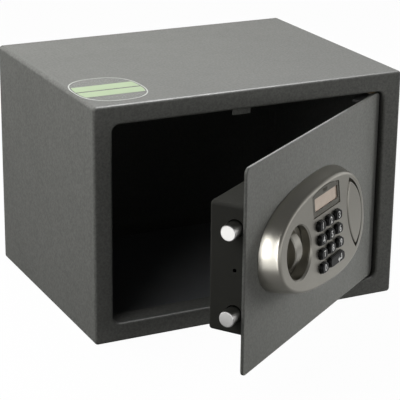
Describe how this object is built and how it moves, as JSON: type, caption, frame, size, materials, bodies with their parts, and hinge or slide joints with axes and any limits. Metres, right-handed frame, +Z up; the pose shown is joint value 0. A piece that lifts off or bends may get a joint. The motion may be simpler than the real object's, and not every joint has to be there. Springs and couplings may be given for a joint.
{
  "type": "electronic safe",
  "caption": "Small steel safe with a side-hinged door standing open, live round bolts and an oval lock panel with a keypad, a display and a turning knob.",
  "frame": {"origin": "centre of the cabinet's base, on the surface that it stands on", "axes": "+Z up, the doorway faces -Y, the hinge is on the +X side"},
  "size_m": [0.35, 0.4392, 0.25],
  "materials": {
    "cabinet_paint": "fine textured charcoal powder coat",
    "door_paint": "fine textured grey powder coat, a little lighter than the cabinet",
    "case_paint": "semi-matt near-black paint",
    "mat_felt": "dark blue-grey needled felt",
    "bright_steel": "bright nickel plate",
    "zinc_steel": "clear zinc plate",
    "brass": "turned brass",
    "panel_shell": "metallic titanium lacquer over moulded plastic",
    "display_frame": "dark grey plastic, silk gloss",
    "display_window": "warm grey display behind a clear window",
    "key_plastic": "glossy black, domed",
    "membrane_rubber": "matt silicone",
    "circuit_board": "green solder mask",
    "coil_wire": "enamelled copper wire",
    "black_plastic": "moulded black plastic",
    "cell_jacket": "plain shrink sleeve with a bare end cap",
    "reset_plastic": "red plastic",
    "white_print": "white printed key digits",
    "label_film": "plain printed film on the cabinet top"
  },
  "bodies": {
    "cabinet": {"cabinet_wrap": "cabinet_paint", "back_panel": "cabinet_paint", "floor_mat": "mat_felt", "hinge_bush_lower": "brass", "hinge_bush_upper": "brass", "door_stop_lower": "cabinet_paint", "door_stop_upper": "cabinet_paint"},
    "door": {"door_plate": "door_paint", "hinge_bracket_lower": "zinc_steel", "hinge_bracket_upper": "zinc_steel", "hinge_pin_lower": "bright_steel", "hinge_pin_upper": "bright_steel", "lock_case": "case_paint", "case_screw_1": "zinc_steel", "case_screw_2": "zinc_steel", "case_screw_3": "zinc_steel", "case_screw_4": "zinc_steel", "bolt_guide": "zinc_steel", "panel_housing": "panel_shell", "display_surround": "display_frame", "lcd_module": "display_window", "keypad_membrane": "membrane_rubber", "panel_board": "circuit_board", "panel_screw_1": "zinc_steel", "panel_screw_2": "zinc_steel", "solenoid_frame": "zinc_steel", "solenoid_coil": "coil_wire", "override_lock_body": "bright_steel", "override_nut": "zinc_steel", "battery_box": "black_plastic", "battery_cell_1": "cell_jacket", "battery_cell_2": "cell_jacket", "battery_cell_3": "cell_jacket", "battery_cell_4": "cell_jacket", "control_board": "circuit_board"},
    "bolt_work": {"bolt_carriage": "zinc_steel", "bolt_lower": "bright_steel", "bolt_upper": "bright_steel"},
    "knob_set": {"knob": "panel_shell", "knob_spindle": "zinc_steel", "knob_crank": "zinc_steel"},
    "lock_plunger": {"solenoid_plunger": "bright_steel"},
    "override_key_plug": {"override_plug": "brass", "override_cam": "zinc_steel"},
    "override_lid": {"override_cover": "panel_shell"},
    "battery_door": {"battery_lid": "case_paint"},
    "code_reset": {"reset_button": "reset_plastic"},
    "key_1_cap": {"key_1": "key_plastic"},
    "key_2_cap": {"key_2": "key_plastic"},
    "key_3_cap": {"key_3": "key_plastic"},
    "key_4_cap": {"key_4": "key_plastic"},
    "key_5_cap": {"key_5": "key_plastic"},
    "key_6_cap": {"key_6": "key_plastic"},
    "key_7_cap": {"key_7": "key_plastic"},
    "key_8_cap": {"key_8": "key_plastic"},
    "key_9_cap": {"key_9": "key_plastic"},
    "key_0_cap": {"key_0": "key_plastic"},
    "key_enter_cap": {"key_enter": "key_plastic"}
  },
  "joints": [
    {"name": "door_hinge", "type": "hinge", "parent": "cabinet", "child": "door", "pos_m": [0.14156, -0.127, 0.125], "axis": [0, 0, 1], "range_deg": [-35, 75]},
    {"name": "knob_turn", "type": "hinge", "parent": "door", "child": "knob_set", "pos_m": [-0.03698, -0.26178, 0.128], "axis": [-0.5736, 0.8192, 0], "range_deg": [0, 90]},
    {"name": "bolt_slide", "type": "slide", "parent": "door", "child": "bolt_work", "axis": [0.8192, 0.5736, 0], "range_m": [0, 0.014]},
    {"name": "plunger_slide", "type": "slide", "parent": "door", "child": "lock_plunger", "axis": [-0.5736, 0.8192, 0], "range_m": [-0.005, 0]},
    {"name": "override_turn", "type": "hinge", "parent": "door", "child": "override_key_plug", "pos_m": [0.06951, -0.18722, 0.13], "axis": [-0.5736, 0.8192, 0], "range_deg": [0, 90]},
    {"name": "override_cover_pull", "type": "slide", "parent": "door", "child": "override_lid", "axis": [0.5701, -0.8142, 0.1093], "range_m": [0, 0.03]},
    {"name": "battery_lid_pull", "type": "slide", "parent": "door", "child": "battery_door", "axis": [-0.5736, 0.8192, 0], "range_m": [0, 0.02]},
    {"name": "reset_press", "type": "slide", "parent": "door", "child": "code_reset", "axis": [0.5736, -0.8192, 0], "range_m": [0, 0.0015], "stiffness_N_per_m": 400},
    {"name": "key_1_press", "type": "slide", "parent": "door", "child": "key_1_cap", "axis": [-0.5701, 0.8142, -0.1093], "range_m": [0, 0.0015], "stiffness_N_per_m": 400},
    {"name": "key_2_press", "type": "slide", "parent": "door", "child": "key_2_cap", "axis": [-0.5701, 0.8142, -0.1093], "range_m": [0, 0.0015], "stiffness_N_per_m": 400},
    {"name": "key_3_press", "type": "slide", "parent": "door", "child": "key_3_cap", "axis": [-0.5701, 0.8142, -0.1093], "range_m": [0, 0.0015], "stiffness_N_per_m": 400},
    {"name": "key_4_press", "type": "slide", "parent": "door", "child": "key_4_cap", "axis": [-0.5701, 0.8142, -0.1093], "range_m": [0, 0.0015], "stiffness_N_per_m": 400},
    {"name": "key_5_press", "type": "slide", "parent": "door", "child": "key_5_cap", "axis": [-0.5701, 0.8142, -0.1093], "range_m": [0, 0.0015], "stiffness_N_per_m": 400},
    {"name": "key_6_press", "type": "slide", "parent": "door", "child": "key_6_cap", "axis": [-0.5701, 0.8142, -0.1093], "range_m": [0, 0.0015], "stiffness_N_per_m": 400},
    {"name": "key_7_press", "type": "slide", "parent": "door", "child": "key_7_cap", "axis": [-0.5701, 0.8142, -0.1093], "range_m": [0, 0.0015], "stiffness_N_per_m": 400},
    {"name": "key_8_press", "type": "slide", "parent": "door", "child": "key_8_cap", "axis": [-0.5701, 0.8142, -0.1093], "range_m": [0, 0.0015], "stiffness_N_per_m": 400},
    {"name": "key_9_press", "type": "slide", "parent": "door", "child": "key_9_cap", "axis": [-0.5701, 0.8142, -0.1093], "range_m": [0, 0.0015], "stiffness_N_per_m": 400},
    {"name": "key_0_press", "type": "slide", "parent": "door", "child": "key_0_cap", "axis": [-0.5701, 0.8142, -0.1093], "range_m": [0, 0.0015], "stiffness_N_per_m": 400},
    {"name": "key_enter_press", "type": "slide", "parent": "door", "child": "key_enter_cap", "axis": [-0.5701, 0.8142, -0.1093], "range_m": [0, 0.0015], "stiffness_N_per_m": 400}
  ],
  "couplings": [
    {"joint": "knob_turn", "follows": "bolt_slide", "rad_per_m": 112.2}
  ]
}
